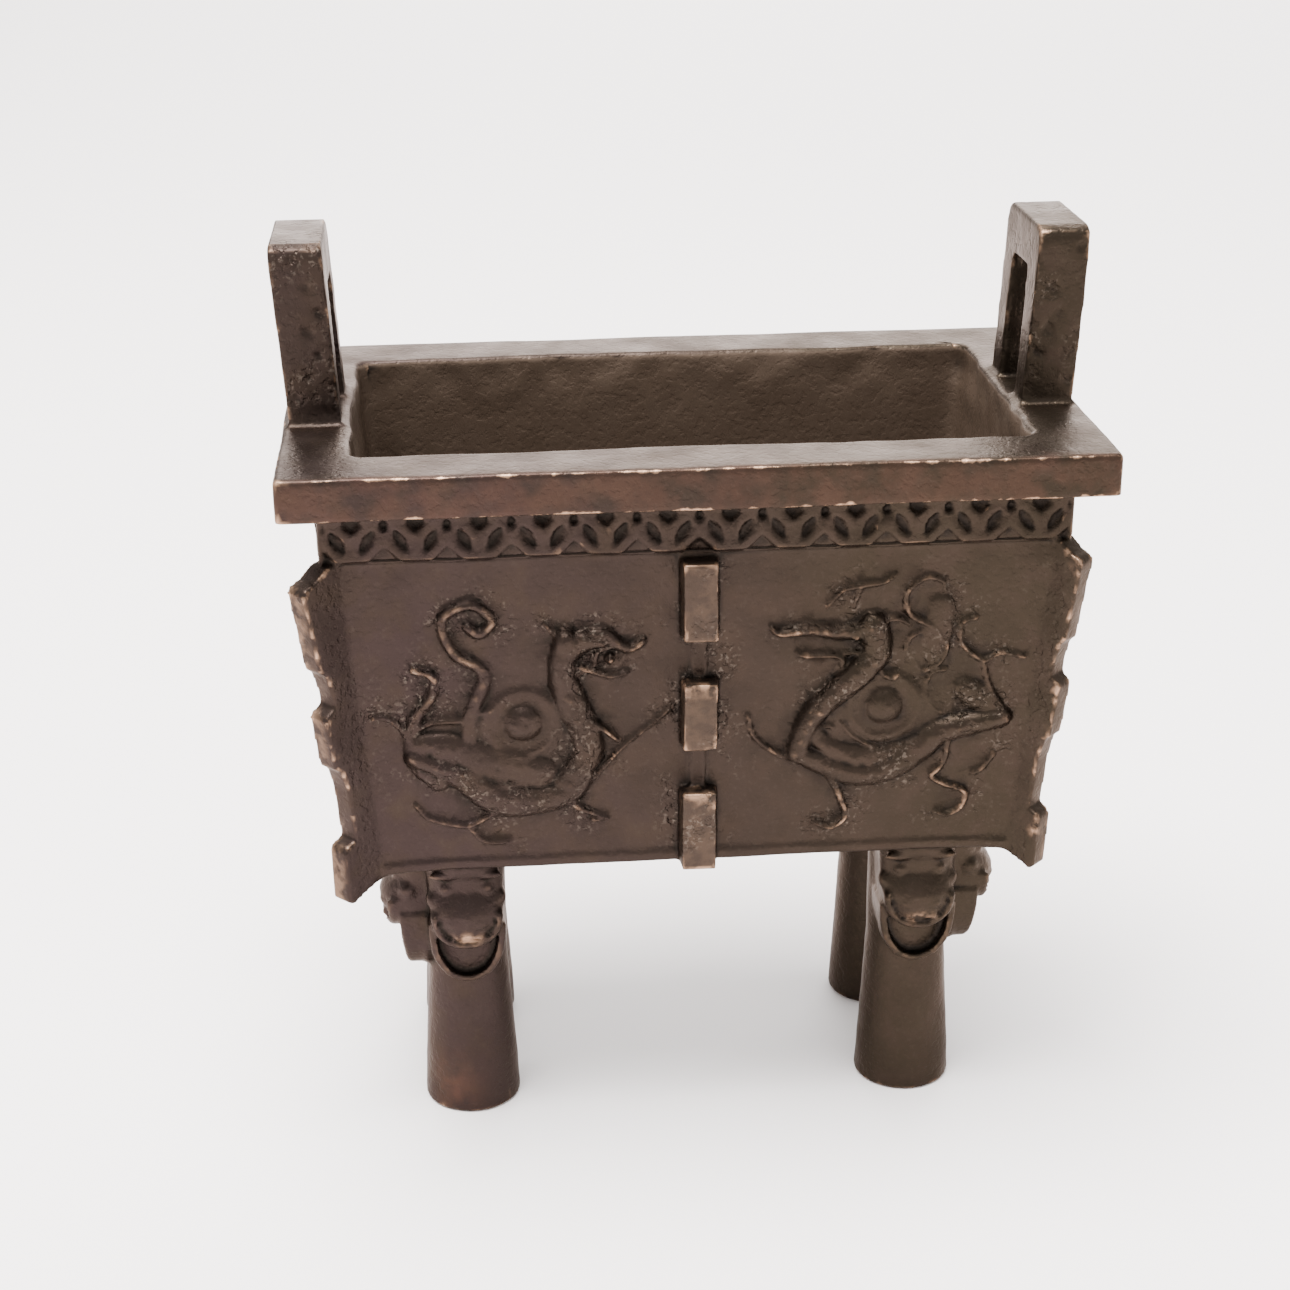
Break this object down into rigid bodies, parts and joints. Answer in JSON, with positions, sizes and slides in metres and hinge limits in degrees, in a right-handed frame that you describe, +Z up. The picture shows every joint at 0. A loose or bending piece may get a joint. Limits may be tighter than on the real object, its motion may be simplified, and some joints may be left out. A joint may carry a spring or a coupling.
{
  "type": "bronze censer",
  "caption": "Rectangular bronze censer with a wide rim, upright handles, relief beasts, notched corner plates and tall round legs under beast masks.",
  "frame": {"origin": "centre of the footprint on the surface that the legs stand on", "axes": "+Z up, +X along the long side to the viewer's right, -Y towards the viewer"},
  "size_m": [0.1518, 0.0926, 0.175],
  "materials": {
    "bronze": "dark brown patina, satin, with worn copper edges"
  },
  "bodies": {
    "root": {"censer": "bronze"}
  },
  "joints": []
}
